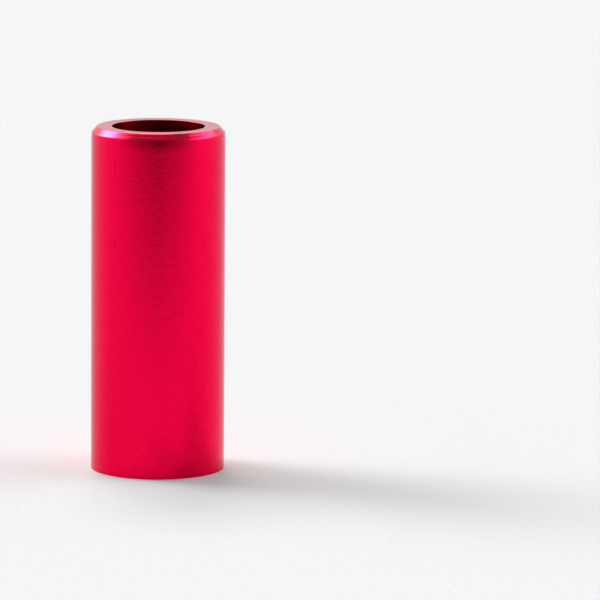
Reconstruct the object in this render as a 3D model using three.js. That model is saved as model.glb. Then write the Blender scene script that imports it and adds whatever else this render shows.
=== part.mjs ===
// Plain shaft sleeve, turned from one bar of aluminium and anodised red.
//
// Millimetres, +Z up. The sleeve stands on its square end: the origin is the centre of that end,
// and +Z runs along the bore to the chamfered end. It is one solid piece with nothing inside it.

import * as THREE from 'three';

// Driving dimensions.
const OUTER_DIAMETER = 19; // leaves a 3 mm wall
const LENGTH = 49; // between the two end faces
const BORE_DIAMETER = 13; // close clearance for a 12 mm shaft or an M12 bolt
const CHAMFER = 0.8; // 45 degrees, on the outer edge of the upper end only
const EDGE_BREAK = 0.12; // 45 degrees, where a sharp corner is only taken off

// Even, and a multiple of 4, so that facet corners lie on both cross axes at the full diameter.
const FACETS = 144;

const outerRadius = OUTER_DIAMETER / 2;
const boreRadius = BORE_DIAMETER / 2;

const redAnodised = new THREE.MeshStandardMaterial({
  name: 'red_anodised_aluminium',
  color: '#d80a48',
  roughness: 0.28,
  metalness: 0.9,
});

// The wall's section as a closed outline of [radius, height] corners, up the outside,
// across the chamfered end, down the bore and back across the square end.
function wallSection() {
  const corners = [
    [outerRadius - EDGE_BREAK, 0],
    [outerRadius, EDGE_BREAK],
    [outerRadius, LENGTH - CHAMFER],
    [outerRadius - CHAMFER, LENGTH],
    [boreRadius + EDGE_BREAK, LENGTH],
    [boreRadius, LENGTH - EDGE_BREAK],
    [boreRadius, EDGE_BREAK],
    [boreRadius + EDGE_BREAK, 0],
  ];
  const outline = corners.map(([radius, height]) => new THREE.Vector2(radius, height));
  outline.push(outline[0].clone());
  return outline;
}

// The section turned once round the Z axis.
function makeSleeve() {
  const geometry = new THREE.LatheGeometry(wallSection(), FACETS);
  geometry.rotateX(Math.PI / 2);
  const mesh = new THREE.Mesh(geometry, redAnodised);
  mesh.name = 'sleeve';
  return mesh;
}

const shaftSleeve = new THREE.Group();
shaftSleeve.name = 'shaft_sleeve';
shaftSleeve.add(makeSleeve());

export default shaftSleeve;
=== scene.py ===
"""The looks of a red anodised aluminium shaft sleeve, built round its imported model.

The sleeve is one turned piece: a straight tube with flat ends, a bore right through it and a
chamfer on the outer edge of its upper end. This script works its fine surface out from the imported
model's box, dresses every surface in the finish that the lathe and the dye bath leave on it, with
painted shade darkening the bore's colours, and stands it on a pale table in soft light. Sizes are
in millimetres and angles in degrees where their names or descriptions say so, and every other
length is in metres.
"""

from __future__ import annotations

import logging
import math
from dataclasses import dataclass
from enum import Enum

import bpy
import numpy as np
from mathutils import Matrix, Vector

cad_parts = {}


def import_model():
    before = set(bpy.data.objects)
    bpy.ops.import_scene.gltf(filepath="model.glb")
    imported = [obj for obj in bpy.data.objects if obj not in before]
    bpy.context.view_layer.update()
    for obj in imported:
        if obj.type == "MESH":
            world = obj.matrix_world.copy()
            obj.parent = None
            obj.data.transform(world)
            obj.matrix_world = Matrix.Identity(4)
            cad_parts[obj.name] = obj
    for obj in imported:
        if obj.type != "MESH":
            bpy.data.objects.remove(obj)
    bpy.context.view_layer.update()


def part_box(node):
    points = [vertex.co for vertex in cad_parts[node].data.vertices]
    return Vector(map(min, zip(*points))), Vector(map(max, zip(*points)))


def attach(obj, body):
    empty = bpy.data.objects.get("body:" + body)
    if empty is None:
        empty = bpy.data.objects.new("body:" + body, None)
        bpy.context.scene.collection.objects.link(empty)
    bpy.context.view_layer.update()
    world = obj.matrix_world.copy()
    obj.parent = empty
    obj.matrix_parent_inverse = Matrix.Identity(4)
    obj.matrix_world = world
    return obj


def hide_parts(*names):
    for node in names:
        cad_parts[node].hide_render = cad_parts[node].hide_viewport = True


LOG = logging.getLogger("shaft_sleeve")
MM = 0.001
FULL_TURN = 2 * math.pi
DEGREES_ROUND = 360.0
WHITE = (1.0, 1.0, 1.0, 1.0)
BLACK = (0.0, 0.0, 0.0, 1.0)
TURNED_MAP = "turned"


class Surface(Enum):
    """The sleeve's kinds of surface, in the order of its material slots."""

    OUTER_WALL = 0
    CHAMFER = 1
    END_FACE = 2
    BORE = 3


def linear(hex_colour: str) -> tuple[float, float, float, float]:
    """Turns an sRGB hex colour into linear RGBA.

    The curve is the standard's own: a straight line for the darkest values, and above them a power
    of 2.4 of the value, moved and scaled so that white stays at 1.

    Args:
        hex_colour: six hex digits, with or without a leading #.

    Returns:
        Linear red, green and blue, and an alpha of 1.
    """
    digits = hex_colour.lstrip("#")
    steps = [int(digits[i : i + 2], 16) / 255 for i in (0, 2, 4)]
    red, green, blue = (s / 12.92 if s <= 0.04045 else ((s + 0.055) / 1.055) ** 2.4 for s in steps)
    return red, green, blue, 1.0


def add_node(tree: bpy.types.NodeTree, kind: str, settings: dict, inputs: dict) -> bpy.types.Node:
    """Adds one node with its settings, and links or sets its inputs.

    Args:
        tree: the node tree to add to.
        kind: the node type's own name.
        settings: attribute name to value.
        inputs: input name or number to a value, or to the output socket that feeds it.

    Returns:
        The new node.
    """
    node = tree.nodes.new(kind)
    for name, value in settings.items():
        setattr(node, name, value)
    for name, value in inputs.items():
        if isinstance(value, bpy.types.NodeSocket):
            tree.links.new(value, node.inputs[name])
        else:
            node.inputs[name].default_value = value
    return node


@dataclass(frozen=True)
class Hairline:
    """A faint scratch along the sleeve.

    Attributes:
        azimuth_degrees: where it is round the sleeve, anticlockwise from +X.
        low_mm: the height of its lower end.
        high_mm: the height of its upper end.
        shade: how much it darkens the dye.
    """

    azimuth_degrees: float
    low_mm: float
    high_mm: float
    shade: float


@dataclass(frozen=True)
class AnodisedTurning:
    """Aluminium turned on a lathe, then anodised and dyed red.

    The dyed oxide is clear and thin, so the metal still mirrors, in deep red that pales to pink only
    where it is seen aslant. The tool leaves grooves that run round the part, so a reflection is
    smeared across the grooves and stays sharp along them, and the etch before the dye bath leaves a
    fine mottle.

    Attributes:
        name: the material's name.
        dye: the metal's colour through the dye, square on. On the bore it is darkened as painted
            shade.
        slant_dye: how much of the light comes back at a slant, where the oxide's path is longest. On
            the bore it is darkened as painted shade.
        roughness: the blur of a reflection.
        anisotropy: how much more a reflection is smeared across the grooves than along them.
        streak_mm: the width of the streaks that the tool's feed leaves. The real grooves are about
            a tenth of this and wouldn't show.
        streak_depth_mm: how deep the streaks are.
        mottle_mm: the size of the etch's mottle.
        mottle_depth_mm: how deep the mottle is.
        shade: how much streaks and mottle vary the colour.
        clear_skin: how much of the surface has a glassy skin, which whitens a lamp's highlight.
        hairlines: the scratches.
        QUARTER_TURN: turns the smear across the grooves, which run along the map's U.
        STREAK_ASPECT: how many times longer than wide a streak is.
        NOISE_DETAIL: the octaves of the streaks' and the mottle's noise.
        SHADE_SPAN: the sums of streaks and mottle that give the darkest and the lightest dye.
        ROUGHNESS_SPREAD: the share by which the mottle varies the roughness.
        HAIRLINE_MM: half a scratch's width, as coarse as it needs to be to show.
        SKIN_ROUGHNESS: the blur of the glassy skin's reflection.
    """

    name: str
    dye: str
    slant_dye: str
    roughness: float
    anisotropy: float
    streak_mm: float
    streak_depth_mm: float
    mottle_mm: float
    mottle_depth_mm: float
    shade: float
    clear_skin: float = 0.0
    hairlines: tuple[Hairline, ...] = ()

    QUARTER_TURN = 0.25
    STREAK_ASPECT = 8
    NOISE_DETAIL = 2.0
    SHADE_SPAN = (0.6, 1.4)
    ROUGHNESS_SPREAD = 0.15
    HAIRLINE_MM = 0.08
    SKIN_ROUGHNESS = 0.22

    def material(self, section_mm: float, around_mm: float) -> bpy.types.Material:
        """Makes the material.

        Args:
            section_mm: the length of the sleeve's section outline, which the map's V runs along.
            around_mm: the sleeve's circumference, which the map's U runs along.

        Returns:
            The finished material.
        """
        made = bpy.data.materials.new(self.name)
        made.use_nodes = True
        tree = made.node_tree
        tree.nodes.clear()
        turned = add_node(tree, "ShaderNodeUVMap", {"uv_map": TURNED_MAP}, {})
        spot = add_node(tree, "ShaderNodeSeparateXYZ", {}, {0: turned.outputs[0]})
        streaks = self.streaks(tree, spot.outputs["Y"], section_mm)
        mottle = self.mottle(tree)
        colour = self.colour(tree, streaks, mottle)
        for hairline in self.hairlines:
            mark = self.scratch(tree, hairline, spot, section_mm, around_mm)
            colour = add_node(
                tree,
                "ShaderNodeMix",
                {"data_type": "RGBA", "blend_type": "MULTIPLY"},
                {0: mark, 6: colour, 7: BLACK},
            ).outputs[2]
        fine = add_node(
            tree,
            "ShaderNodeBump",
            {},
            {"Distance": self.mottle_depth_mm * MM, "Height": mottle},
        )
        relief = add_node(
            tree,
            "ShaderNodeBump",
            {},
            {
                "Distance": self.streak_depth_mm * MM,
                "Height": streaks,
                "Normal": fine.outputs[0],
            },
        )
        blur = add_node(
            tree,
            "ShaderNodeMapRange",
            {},
            {
                "Value": mottle,
                "To Min": self.roughness * (1 - self.ROUGHNESS_SPREAD),
                "To Max": self.roughness * (1 + self.ROUGHNESS_SPREAD),
            },
        )
        tangent = add_node(
            tree, "ShaderNodeTangent", {"direction_type": "UV_MAP", "uv_map": TURNED_MAP}, {}
        )
        shader = add_node(
            tree,
            "ShaderNodeBsdfPrincipled",
            {},
            {
                "Base Color": colour,
                "Metallic": 1.0,
                "Roughness": blur.outputs[0],
                "Specular Tint": linear(self.slant_dye),
                "Anisotropic": self.anisotropy,
                "Anisotropic Rotation": self.QUARTER_TURN,
                "Coat Weight": self.clear_skin,
                "Coat Roughness": self.SKIN_ROUGHNESS,
                "Tangent": tangent.outputs[0],
                "Normal": relief.outputs[0],
            },
        )
        add_node(tree, "ShaderNodeOutputMaterial", {}, {"Surface": shader.outputs[0]})
        return made

    def streaks(
        self, tree: bpy.types.NodeTree, along: bpy.types.NodeSocket, section_mm: float
    ) -> bpy.types.NodeSocket:
        """Adds noise drawn out round the part: quick along the section, slow round the axis.

        Args:
            tree: the material's node tree.
            along: the place along the section, from 0 to 1.
            section_mm: the length of the sleeve's section outline.

        Returns:
            The socket with the streaks' height, from 0 to 1.
        """
        where = add_node(tree, "ShaderNodeTexCoord", {}, {})
        place = add_node(tree, "ShaderNodeSeparateXYZ", {}, {0: where.outputs["Object"]})
        slow = 1 / (self.streak_mm * self.STREAK_ASPECT * MM)
        stretched = [
            add_node(tree, "ShaderNodeMath", {"operation": "MULTIPLY"}, {0: socket, 1: times})
            for socket, times in (
                (place.outputs["X"], slow),
                (place.outputs["Y"], slow),
                (along, section_mm / self.streak_mm),
            )
        ]
        spot = add_node(
            tree,
            "ShaderNodeCombineXYZ",
            {},
            {i: part.outputs[0] for i, part in enumerate(stretched)},
        )
        noise = add_node(
            tree,
            "ShaderNodeTexNoise",
            {},
            {"Vector": spot.outputs[0], "Scale": 1.0, "Detail": self.NOISE_DETAIL},
        )
        return noise.outputs[0]

    def mottle(self, tree: bpy.types.NodeTree) -> bpy.types.NodeSocket:
        """Adds the etch's mottle, which has no direction.

        Args:
            tree: the material's node tree.

        Returns:
            The socket with the mottle's height, from 0 to 1.
        """
        where = add_node(tree, "ShaderNodeTexCoord", {}, {})
        noise = add_node(
            tree,
            "ShaderNodeTexNoise",
            {},
            {
                "Vector": where.outputs["Object"],
                "Scale": 1 / (self.mottle_mm * MM),
                "Detail": self.NOISE_DETAIL,
            },
        )
        return noise.outputs[0]

    def colour(
        self,
        tree: bpy.types.NodeTree,
        streaks: bpy.types.NodeSocket,
        mottle: bpy.types.NodeSocket,
    ) -> bpy.types.NodeSocket:
        """Shades the dye with the streaks and the mottle.

        Args:
            tree: the material's node tree.
            streaks: the streaks' height.
            mottle: the mottle's height.

        Returns:
            The socket with the colour.
        """
        light = linear(self.dye)
        dark = (*(c * (1 - self.shade) for c in light[:3]), 1.0)
        lowest, highest = self.SHADE_SPAN
        both = add_node(tree, "ShaderNodeMath", {"operation": "ADD"}, {0: streaks, 1: mottle})
        level = add_node(
            tree,
            "ShaderNodeMapRange",
            {},
            {"Value": both.outputs[0], "From Min": lowest, "From Max": highest},
        )
        return add_node(
            tree, "ShaderNodeMix", {"data_type": "RGBA"}, {0: level.outputs[0], 6: dark, 7: light}
        ).outputs[2]

    def scratch(
        self,
        tree: bpy.types.NodeTree,
        hairline: Hairline,
        spot: bpy.types.Node,
        section_mm: float,
        around_mm: float,
    ) -> bpy.types.NodeSocket:
        """Marks one scratch: a narrow box on the sleeve's map, soft in the outer half of its reach.

        Args:
            tree: the material's node tree.
            hairline: the scratch.
            spot: the node with the place on the map, U as X and V as Y.
            section_mm: the length of the sleeve's section outline.
            around_mm: the sleeve's circumference.

        Returns:
            The socket with the mark's strength.
        """
        half = (hairline.high_mm - hairline.low_mm) / 2
        middle = hairline.low_mm + half
        inside = []
        for socket, centre, reach in (
            (spot.outputs["X"], hairline.azimuth_degrees / DEGREES_ROUND, self.HAIRLINE_MM / around_mm),
            (spot.outputs["Y"], middle / section_mm, half / section_mm),
        ):
            off = add_node(
                tree, "ShaderNodeMath", {"operation": "SUBTRACT"}, {0: socket, 1: centre}
            )
            gap = add_node(tree, "ShaderNodeMath", {"operation": "ABSOLUTE"}, {0: off.outputs[0]})
            within = add_node(
                tree,
                "ShaderNodeMapRange",
                {"interpolation_type": "SMOOTHSTEP"},
                {
                    "Value": gap.outputs[0],
                    "From Min": reach / 2,
                    "From Max": reach,
                    "To Min": 1.0,
                    "To Max": 0.0,
                },
            )
            inside.append(within.outputs[0])
        both = add_node(
            tree, "ShaderNodeMath", {"operation": "MULTIPLY"}, {0: inside[0], 1: inside[1]}
        )
        return add_node(
            tree,
            "ShaderNodeMath",
            {"operation": "MULTIPLY"},
            {0: both.outputs[0], 1: hairline.shade},
        ).outputs[0]


CRIMSON = "#fd0644"
WARM_CRIMSON = "#fd063f"
# The bore's dye and slant colour are darker than outside: painted shade for the inside of the bore.
SHADED_BORE_CRIMSON = "#800007"
SLANT = "#e8ecf0"
SHADED_BORE_SLANT = "#b06060"

# All four are turned and anodised aluminium, and what each gives the eye is said above it.
FINISHES = {
    # A satin mirror: highlights are drawn out along the sleeve, over a soft mottle.
    Surface.OUTER_WALL: AnodisedTurning(
        name="anodised_outer_wall",
        dye=CRIMSON,
        slant_dye=SLANT,
        roughness=0.13,
        anisotropy=0.8,
        streak_mm=0.2,
        streak_depth_mm=0.0012,
        mottle_mm=0.62,
        mottle_depth_mm=0.012,
        shade=0.17,
        hairlines=(Hairline(230.2, 41.9, 45.8, 0.3), Hairline(230.2, 32.5, 34.2, 0.5)),
    ),
    # Duller than the wall, with a glassy skin that lets a lamp's highlight go nearly white. Its dye
    # has a little less blue, so that the highlight doesn't turn violet.
    Surface.CHAMFER: AnodisedTurning(
        name="anodised_chamfer",
        dye=WARM_CRIMSON,
        slant_dye=SLANT,
        roughness=0.21,
        anisotropy=0.55,
        streak_mm=0.15,
        streak_depth_mm=0.0006,
        mottle_mm=0.6,
        mottle_depth_mm=0.0004,
        shade=0.06,
        clear_skin=0.19,
    ),
    # The clearest mirror of the four, with the faintest streaks.
    Surface.END_FACE: AnodisedTurning(
        name="anodised_end_face",
        dye=CRIMSON,
        slant_dye=SLANT,
        roughness=0.12,
        anisotropy=0.8,
        streak_mm=0.25,
        streak_depth_mm=0.0003,
        mottle_mm=0.5,
        mottle_depth_mm=0.0004,
        shade=0.06,
    ),
    # The dullest, with the deepest streaks, as a long thin boring tool leaves them. Its dye and its
    # colour at a slant are darker than outside, as painted shade that keeps the inside a dark red.
    Surface.BORE: AnodisedTurning(
        name="anodised_bore_painted_shade",
        dye=SHADED_BORE_CRIMSON,
        slant_dye=SHADED_BORE_SLANT,
        roughness=0.3,
        anisotropy=0.7,
        streak_mm=0.35,
        streak_depth_mm=0.004,
        mottle_mm=1.2,
        mottle_depth_mm=0.004,
        shade=0.2,
    ),
}

# How many rows of vertices follow the first one on a side of the section. The short chamfer has
# many, to show the tool's ring.
SIDE_ROWS = {
    Surface.OUTER_WALL: 24,
    Surface.CHAMFER: 48,
    Surface.END_FACE: 10,
    Surface.BORE: 50,
}


@dataclass(frozen=True)
class Corner:
    """A corner of the sleeve's section, before it is rounded.

    Attributes:
        radius: its distance from the axis in millimetres.
        height: its height in millimetres.
        rounding: the radius of its rounding in millimetres.
        surface: the surface that starts at it.
    """

    radius: float
    height: float
    rounding: float
    surface: Surface


@dataclass
class SleeveBody:
    """The whole sleeve, as one closed surface of revolution round the Z axis.

    Attributes:
        low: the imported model's lowest corner, in metres.
        high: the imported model's highest corner, in metres.
        bore_mm: the bore's diameter.
        chamfer_mm: the chamfer's size along the wall and along the end face.
        edge_radius_mm: the rounding of the edges that are only broken.
        shoulder_radius_mm: the rounding between the wall and the chamfer.
        roll_off_start_mm: how far below the chamfer the wall starts to roll off.
        roll_off_degrees: how far the wall leans in from there.
        roll_off_radius_mm: the rounding where it starts to lean.
        tool_ring_depth_mm: the depth of the ring where the tool stopped on the chamfer.
        tool_ring_width_mm: how far from that ring's middle its depth is down to a little over a
            third.
        around: the vertices in a ring.
        arc_steps: the steps in a rounding.
        hold_mm: how far a side's second and last rows are from its ends, on a long side.
        hold_share: the same as a share of the side, on a short one.
        node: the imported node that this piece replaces.
        name: the piece's name.
    """

    low: Vector
    high: Vector
    bore_mm: float = 13.0
    chamfer_mm: float = 0.8
    edge_radius_mm: float = 0.09
    shoulder_radius_mm: float = 0.3
    roll_off_start_mm: float = 0.9
    roll_off_degrees: float = 3.4
    roll_off_radius_mm: float = 24.0
    tool_ring_depth_mm: float = 0.014
    tool_ring_width_mm: float = 0.08
    around: int = 384
    arc_steps: int = 6
    hold_mm: float = 0.03
    hold_share: float = 0.125
    node: str = "sleeve"
    name: str = "turned_sleeve"

    @property
    def outer(self) -> float:
        """The outer radius in millimetres."""
        return (self.high.x - self.low.x) / 2 / MM

    @property
    def length(self) -> float:
        """The length in millimetres."""
        return (self.high.z - self.low.z) / MM

    def corners(self) -> list[Corner]:
        """The section's corners: up the outside, in, down the bore and out again.

        Near the chamfer the wall rolls off by a hair, as a polished edge does. What it drops by is
        the roll-off's length times the tangent of its lean.

        Returns:
            The corners in order.
        """
        outer, inner, top = self.outer, self.bore_mm / 2, self.length
        edge, shoulder = self.edge_radius_mm, top - self.chamfer_mm
        roll_off = shoulder - self.roll_off_start_mm
        drop = self.roll_off_start_mm * math.tan(math.radians(self.roll_off_degrees))
        return [
            Corner(outer, 0.0, edge, Surface.OUTER_WALL),
            Corner(outer, roll_off, self.roll_off_radius_mm, Surface.OUTER_WALL),
            Corner(outer - drop, shoulder, self.shoulder_radius_mm, Surface.CHAMFER),
            Corner(outer - self.chamfer_mm, top, edge, Surface.END_FACE),
            Corner(inner, top, edge, Surface.BORE),
            Corner(inner, 0.0, edge, Surface.END_FACE),
        ]

    def arc(self, before: Corner, here: Corner, after: Corner) -> np.ndarray:
        """Rounds one corner with an arc.

        The arc touches both sides at the rounding times the tangent of half the angle that the
        outline turns there, and its spokes turn by equal steps through that angle.

        Args:
            before: the corner before it.
            here: the corner to round.
            after: the corner after it.

        Returns:
            The arc's (radius, height) rows, from the first touching point to the last.
        """
        spot = np.array([here.radius, here.height])
        into = spot - (before.radius, before.height)
        out = np.array([after.radius, after.height]) - spot
        into, out = into / np.linalg.norm(into), out / np.linalg.norm(out)
        turn = math.atan2(into[0] * out[1] - into[1] * out[0], float(into @ out))
        first = spot - into * here.rounding * math.tan(abs(turn) / 2)
        centre = first + np.array([-into[1], into[0]]) * math.copysign(here.rounding, turn)
        spoke = first - centre
        angle = np.linspace(0, turn, self.arc_steps + 1)
        cos, sin = np.cos(angle), np.sin(angle)
        turned = [spoke[0] * cos - spoke[1] * sin, spoke[0] * sin + spoke[1] * cos]
        return centre + np.stack(turned, axis=1)

    def side(self, start: np.ndarray, end: np.ndarray, surface: Surface) -> np.ndarray:
        """The rows along one side of the section, from start up to but not including end.

        The second and the last row lie close to the arcs, so that a flat side stays flat in
        shading. The chamfer has a shallow ring where the tool stopped: its depth is the deepest
        times e to the power of minus the square of the distance from the side's middle over the
        ring's width.

        Args:
            start: the (radius, height) where the side starts.
            end: the (radius, height) where the next arc starts.
            surface: the kind of surface.

        Returns:
            The rows as (radius, height).
        """
        long = float(np.linalg.norm(end - start))
        hold = min(self.hold_mm, long * self.hold_share)
        at = np.concatenate([[0], np.linspace(hold, long - hold, SIDE_ROWS[surface])])
        direction = (end - start) / long
        rows = start + at[:, None] * direction
        if surface is Surface.CHAMFER:
            off = (at - long / 2) / self.tool_ring_width_mm
            depth = self.tool_ring_depth_mm * np.exp(-(off**2))
            rows = rows - depth[:, None] * np.array([direction[1], -direction[0]])
        return rows

    def outline(self) -> tuple[np.ndarray, np.ndarray]:
        """Works the closed section out, as arcs and sides in turn.

        Returns:
            The section's points as (radius, height) rows in millimetres, and the surface number of
            the stretch that starts at each point.
        """
        corners = self.corners()
        count = len(corners)
        arcs = [self.arc(corners[i - 1], corners[i], corners[(i + 1) % count]) for i in range(count)]
        runs, kinds = [], []
        for i, corner in enumerate(corners):
            side = self.side(arcs[i][-1], arcs[(i + 1) % count][0], corner.surface)
            runs += [arcs[i][:-1], side]
            kinds += [corner.surface.value] * (self.arc_steps + len(side))
        return np.concatenate(runs), np.array(kinds, np.int32)

    def build(self) -> tuple[bpy.types.Object, float]:
        """Turns the section round the axis and makes the piece.

        A vertex's place is (radius cos a, radius sin a, height) for its section row and its angle a.

        Returns:
            The new piece, at the origin, and the length of its section outline in millimetres.
        """
        outline, kinds = self.outline()
        rows, columns = len(outline), self.around
        angle = np.arange(columns) * FULL_TURN / columns
        radius, height = outline[:, 0, None], outline[:, 1, None]
        places = np.stack([radius * np.cos(angle), radius * np.sin(angle), height + 0 * angle], -1)
        row, column = np.meshgrid(np.arange(rows), np.arange(columns), indexing="ij")
        below, beside = (row + 1) % rows, (column + 1) % columns
        quads = [(row, column), (row, beside), (below, beside), (below, column)]
        faces = np.stack([r * columns + c for r, c in quads], axis=-1).reshape(-1, 4)
        mesh = bpy.data.meshes.new(self.name)
        mesh.vertices.add(rows * columns)
        mesh.vertices.foreach_set("co", (places * MM).astype(np.float32).ravel())
        mesh.loops.add(faces.size)
        mesh.loops.foreach_set("vertex_index", faces.astype(np.int32).ravel())
        mesh.polygons.add(len(faces))
        mesh.polygons.foreach_set("loop_start", np.arange(0, faces.size, 4, dtype=np.int32))
        mesh.update(calc_edges=True)
        mesh.polygons.foreach_set("material_index", np.repeat(kinds, columns))
        mesh.polygons.foreach_set("use_smooth", np.ones(len(faces), bool))
        section_mm = self.unroll(mesh, outline)
        mesh.update()
        mesh.validate()
        piece = bpy.data.objects.new(self.name, mesh)
        bpy.context.scene.collection.objects.link(piece)
        return piece, section_mm

    def unroll(self, mesh: bpy.types.Mesh, outline: np.ndarray) -> float:
        """Gives the turned mesh its map.

        U is the angle's share of a full turn, and V is the distance travelled along the section as
        a share of the whole outline.

        Args:
            mesh: the turned mesh, with its faces row by row.
            outline: the section's points as (radius, height) rows in millimetres.

        Returns:
            The length of the whole outline in millimetres.
        """
        steps = np.linalg.norm(np.roll(outline, -1, axis=0) - outline, axis=1)
        travelled = np.concatenate([[0], np.cumsum(steps)])
        section_mm = float(travelled[-1])
        share = travelled[:, None] / section_mm
        v_from, v_to = share[:-1], share[1:]
        turn = np.arange(self.around + 1) / self.around
        u_from, u_to = turn[:-1], turn[1:]
        spots = [(u_from, v_from), (u_to, v_from), (u_to, v_to), (u_from, v_to)]
        unrolled = np.stack([np.stack(np.broadcast_arrays(u, v), -1) for u, v in spots], axis=2)
        uv = mesh.uv_layers.new(name=TURNED_MAP)
        uv.data.foreach_set("uv", unrolled.astype(np.float32).ravel())
        return section_mm

    def dress(self, piece: bpy.types.Object, section_mm: float) -> None:
        """Puts the four finishes on the piece, in the order of Surface.

        Args:
            piece: the sleeve.
            section_mm: the length of its section outline.
        """
        for surface in Surface:
            material = FINISHES[surface].material(section_mm, FULL_TURN * self.outer)
            piece.data.materials.append(material)


@dataclass
class PaleTable:
    """A matt white table top with a little light coming through it, fading out to clear.

    Attributes:
        radius: the table's radius.
        fade_centre: the place that the fade is measured from. It is behind the sleeve, so that the
            table in front, which the wall mirrors, fades out sooner than the table behind, which
            stays more than half solid as far as the view's upper edge.
        solid_radius: the distance from that place up to which the table is solid.
        fade_radius: the distance from it at which the table is clear.
        white: the share of light that the table gives back.
        glow: the light that comes through the table.
        grain_mm: the size of the table's grain, drawn as coarse as it needs to be to show.
        grain_share: the share by which the grain varies the white.
        grain_detail: the octaves of the grain's noise.
        rings: the rings of vertices.
        around: the vertices in a ring.
        name: the table's name.
    """

    radius: float = 3.0
    fade_centre: tuple[float, float, float] = (0.0, 0.2, 0.0)
    solid_radius: float = 0.2765
    fade_radius: float = 0.731
    white: float = 0.305
    glow: float = 0.115
    grain_mm: float = 0.7
    grain_share: float = 0.12
    grain_detail: float = 3.0
    rings: int = 6
    around: int = 96
    name: str = "pale_table"

    def build(self) -> bpy.types.Object:
        """Makes the table top, as rings of faces round a fan.

        A vertex's place is (r cos a, r sin a, 0), and the rings' radii r grow by even steps.

        Returns:
            The table.
        """
        angle = np.arange(self.around) * FULL_TURN / self.around
        radius = np.linspace(0, self.radius, self.rings + 1)[1:, None]
        round_places = [radius * np.cos(angle), radius * np.sin(angle), 0 * radius * angle]
        places = np.concatenate([np.zeros((1, 3)), np.stack(round_places, -1).reshape(-1, 3)])
        column = np.arange(self.around)
        beside = (column + 1) % self.around
        near = 1 + self.around * np.arange(self.rings - 1)[:, None]
        far = near + self.around
        fan = np.stack([0 * column, 1 + column, 1 + beside], -1)
        quads = np.stack([near + column, far + column, far + beside, near + beside], -1)
        mesh = bpy.data.meshes.new(self.name)
        mesh.from_pydata(places.tolist(), [], fan.tolist() + quads.reshape(-1, 4).tolist())
        table = bpy.data.objects.new(self.name, mesh)
        bpy.context.scene.collection.objects.link(table)
        mesh.materials.append(self.material())
        return table

    def material(self) -> bpy.types.Material:
        """Makes a matt white that glows faintly and turns clear with the distance.

        Returns:
            The finished material.
        """
        made = bpy.data.materials.new("lit_matt_white")
        made.use_nodes = True
        tree = made.node_tree
        tree.nodes.clear()
        where = add_node(tree, "ShaderNodeTexCoord", {}, {})
        far = add_node(
            tree,
            "ShaderNodeVectorMath",
            {"operation": "DISTANCE"},
            {0: where.outputs["Object"], 1: self.fade_centre},
        )
        fade = add_node(
            tree,
            "ShaderNodeMapRange",
            {},
            {
                "Value": far.outputs["Value"],
                "From Min": self.solid_radius,
                "From Max": self.fade_radius,
            },
        )
        grain = add_node(
            tree,
            "ShaderNodeTexNoise",
            {},
            {
                "Vector": where.outputs["Object"],
                "Scale": 1 / (self.grain_mm * MM),
                "Detail": self.grain_detail,
            },
        )
        level = add_node(
            tree,
            "ShaderNodeMapRange",
            {},
            {
                "Value": grain.outputs[0],
                "To Min": self.white * (1 - self.grain_share),
                "To Max": self.white * (1 + self.grain_share),
            },
        )
        matt = add_node(tree, "ShaderNodeBsdfDiffuse", {}, {"Color": level.outputs[0]})
        lit = add_node(tree, "ShaderNodeEmission", {}, {"Color": WHITE, "Strength": self.glow})
        white = add_node(tree, "ShaderNodeAddShader", {}, {0: matt.outputs[0], 1: lit.outputs[0]})
        clear = add_node(tree, "ShaderNodeBsdfTransparent", {}, {})
        mix = add_node(
            tree,
            "ShaderNodeMixShader",
            {},
            {0: fade.outputs[0], 1: white.outputs[0], 2: clear.outputs[0]},
        )
        add_node(tree, "ShaderNodeOutputMaterial", {}, {"Surface": mix.outputs[0]})
        return made


@dataclass(frozen=True)
class Lamp:
    """A round soft lamp far away.

    Attributes:
        name: its name.
        towards: the direction to it.
        width_degrees: how wide it looks.
        strength: its light square on, in watts per square metre.
    """

    name: str
    towards: tuple[float, float, float]
    width_degrees: float
    strength: float


@dataclass(frozen=True)
class WallStop:
    """How bright the light tent's wall is on one bearing.

    Attributes:
        bearing_degrees: the bearing, 0 in front of the sleeve, 90 to the right and -90 to the left.
        level: the wall's red, green and blue there.
    """

    bearing_degrees: float
    level: tuple[float, float, float]


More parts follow.
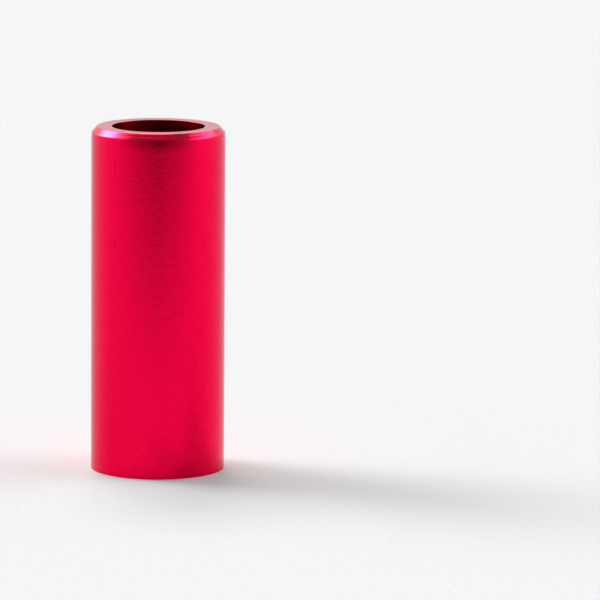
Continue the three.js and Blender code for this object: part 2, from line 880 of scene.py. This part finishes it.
@dataclass
class Studio:
    """The light: a pale tent that is open and dark in front, and soft lamps round it.

    Attributes:
        backdrop: the colour that the camera sees behind the sleeve.
        ceiling_level: how bright the tent's ceiling is.
        ceiling_rise: how far up the walls start to turn into the ceiling and where they have, as
            the upward part of a direction of length 1.
        walls: the tent's walls by bearing, all the way round.
        lamps: the lamps. The left one is three, one inside the other, so that its edge is soft.
    """

    backdrop: str = "#f7f7f8"
    ceiling_level: float = 0.30
    ceiling_rise: tuple[float, float] = (0.35, 0.8)
    walls: tuple[WallStop, ...] = (
        WallStop(-180.0, (0.90, 0.90, 0.90)),
        WallStop(-150.0, (0.94, 0.94, 1.02)),
        WallStop(-130.0, (0.98, 1.02, 1.14)),
        WallStop(-90.0, (0.97, 1.04, 1.20)),
        WallStop(-72.0, (0.82, 0.84, 0.94)),
        WallStop(-55.0, (0.58, 0.58, 0.60)),
        WallStop(-32.0, (0.30, 0.28, 0.26)),
        WallStop(0.0, (0.10, 0.08, 0.07)),
        WallStop(32.0, (0.32, 0.30, 0.28)),
        WallStop(55.0, (0.63, 0.63, 0.61)),
        WallStop(72.0, (0.98, 1.02, 1.02)),
        WallStop(88.0, (1.12, 1.22, 1.22)),
        WallStop(107.0, (1.03, 1.16, 1.16)),
        WallStop(125.0, (0.92, 0.96, 1.04)),
        WallStop(150.0, (0.90, 0.90, 0.90)),
        WallStop(180.0, (0.90, 0.90, 0.90)),
    )
    lamps: tuple[Lamp, ...] = (
        Lamp("left_lamp", (-0.70, 0.41, 0.59), 24.0, 2.3),
        Lamp("left_halo", (-0.68, 0.42, 0.60), 37.0, 2.0),
        Lamp("left_glow", (-0.67, 0.42, 0.61), 52.0, 1.3),
        Lamp("right_lamp", (0.84, 0.05, 0.54), 39.0, 2.1),
        Lamp("right_back_lamp", (0.62, 0.50, 0.60), 24.0, 0.5),
        Lamp("back_lamp", (-0.10, 0.52, 0.83), 24.0, 2.5),
    )

    def build(self) -> None:
        """Makes the surroundings and the lamps."""
        self.surroundings()
        for lamp in self.lamps:
            light = bpy.data.lights.new(lamp.name, "SUN")
            light.energy = lamp.strength
            light.angle = math.radians(lamp.width_degrees)
            lit = bpy.data.objects.new(lamp.name, light)
            lit.rotation_mode = "QUATERNION"
            lit.rotation_quaternion = Vector(lamp.towards).to_track_quat("Z", "Y")
            bpy.context.scene.collection.objects.link(lit)
            LOG.info("%s: %.1f W per square metre", lamp.name, lamp.strength)

    def surroundings(self) -> None:
        """Makes the world: a plain pale backdrop to look at, and the tent's light for the rest."""
        world = bpy.data.worlds.new("light_tent")
        bpy.context.scene.world = world
        world.use_nodes = True
        tree = world.node_tree
        tree.nodes.clear()
        where = add_node(tree, "ShaderNodeTexCoord", {}, {})
        towards = add_node(tree, "ShaderNodeSeparateXYZ", {}, {0: where.outputs["Generated"]})
        light = add_node(
            tree, "ShaderNodeBackground", {}, {"Color": self.tent(tree, towards), "Strength": 1.0}
        )
        seen = add_node(
            tree, "ShaderNodeBackground", {}, {"Color": linear(self.backdrop), "Strength": 1.0}
        )
        path = add_node(tree, "ShaderNodeLightPath", {}, {})
        mix = add_node(
            tree,
            "ShaderNodeMixShader",
            {},
            {0: path.outputs["Is Camera Ray"], 1: light.outputs[0], 2: seen.outputs[0]},
        )
        add_node(tree, "ShaderNodeOutputWorld", {}, {"Surface": mix.outputs[0]})

    def tent(self, tree: bpy.types.NodeTree, towards: bpy.types.Node) -> bpy.types.NodeSocket:
        """Adds the tent's light: its walls by bearing, and its ceiling above them.

        Args:
            tree: the world's node tree.
            towards: the node with the direction's X, Y and Z.

        Returns:
            The socket with the light's colour.
        """
        ahead = add_node(
            tree, "ShaderNodeMath", {"operation": "MULTIPLY"}, {0: towards.outputs["Y"], 1: -1.0}
        )
        bearing = add_node(
            tree,
            "ShaderNodeMath",
            {"operation": "ARCTAN2"},
            {0: towards.outputs["X"], 1: ahead.outputs[0]},
        )
        share = add_node(
            tree,
            "ShaderNodeMapRange",
            {},
            {"Value": bearing.outputs[0], "From Min": -math.pi, "From Max": math.pi},
        )
        walls = add_node(tree, "ShaderNodeValToRGB", {}, {0: share.outputs[0]})
        stops = walls.color_ramp.elements
        for i in range(len(self.walls) - len(stops)):
            stops.new((i + 1) / len(self.walls))
        for stop, wall in zip(stops, self.walls):
            stop.position = (wall.bearing_degrees + DEGREES_ROUND / 2) / DEGREES_ROUND
            stop.color = (*wall.level, 1.0)
        wall_top, ceiling_start = self.ceiling_rise
        rise = add_node(
            tree,
            "ShaderNodeMapRange",
            {"interpolation_type": "SMOOTHSTEP"},
            {"Value": towards.outputs["Z"], "From Min": wall_top, "From Max": ceiling_start},
        )
        ceiling = (self.ceiling_level, self.ceiling_level, self.ceiling_level, 1.0)
        return add_node(
            tree,
            "ShaderNodeMix",
            {"data_type": "RGBA"},
            {0: rise.outputs[0], 6: walls.outputs[0], 7: ceiling},
        ).outputs[2]


@dataclass
class ProductCamera:
    """A long lens a little above the table, with room beside the sleeve.

    Attributes:
        diameter: the sleeve's outer diameter in metres.
        middle: the sleeve's middle.
        elevation_degrees: how far above the sleeve's middle the camera is.
        distance_diameters: how far away it is, in sleeve diameters.
        frame_diameters: how wide the view is at the sleeve, in sleeve diameters.
        roll_degrees: how far the camera is turned round its own axis.
        sensor_mm: the sensor's width.
        aim_right: how far to the right of the sleeve's middle it aims, in sleeve diameters.
        aim_up: how far above the sleeve's middle it aims, in sleeve diameters.
        nearest: the distance at which the view starts.
        farthest: the distance at which it ends.
        name: the camera's name.
    """

    diameter: float
    middle: Vector
    elevation_degrees: float = 9.463
    distance_diameters: float = 40.0
    frame_diameters: float = 4.482
    roll_degrees: float = 0.432
    sensor_mm: float = 36.0
    aim_right: float = 1.0612
    aim_up: float = -0.0176
    nearest: float = 0.01
    farthest: float = 20.0
    name: str = "product_camera"

    def build(self) -> bpy.types.Object:
        """Makes the camera and makes it the scene's own.

        Returns:
            The camera.
        """
        rise = math.radians(self.elevation_degrees)
        away = self.distance_diameters * self.diameter
        lens = bpy.data.cameras.new(self.name)
        lens.sensor_width = self.sensor_mm
        lens.lens = self.sensor_mm * self.distance_diameters / self.frame_diameters
        lens.clip_start, lens.clip_end = self.nearest, self.farthest
        camera = bpy.data.objects.new(self.name, lens)
        right = Vector((1, 0, 0))
        back = Vector((0, -math.cos(rise), math.sin(rise)))
        up = Vector((0, math.sin(rise), math.cos(rise)))
        aim = self.middle + (right * self.aim_right + up * self.aim_up) * self.diameter
        camera.location = self.middle + back * away
        facing = (aim - camera.location).to_track_quat("-Z", "Y").to_matrix()
        roll = Matrix.Rotation(math.radians(self.roll_degrees), 3, "Z")
        camera.rotation_euler = (facing @ roll).to_euler()
        bpy.context.scene.collection.objects.link(camera)
        bpy.context.scene.camera = camera
        return camera


def main() -> None:
    """Builds the sleeve, the table, the light and the camera."""
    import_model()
    low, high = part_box("sleeve")
    body = SleeveBody(low, high)
    piece, section_mm = body.build()
    body.dress(piece, section_mm)
    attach(piece, "root")
    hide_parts(body.node)
    LOG.info("%s: %d faces", piece.name, len(piece.data.polygons))
    PaleTable().build()
    Studio().build()
    ProductCamera(high.x - low.x, (low + high) / 2).build()
    bpy.context.scene.view_settings.view_transform = "Standard"


if __name__ == "__main__":
    logging.basicConfig(level=logging.INFO, format="%(name)s: %(message)s")
    main()
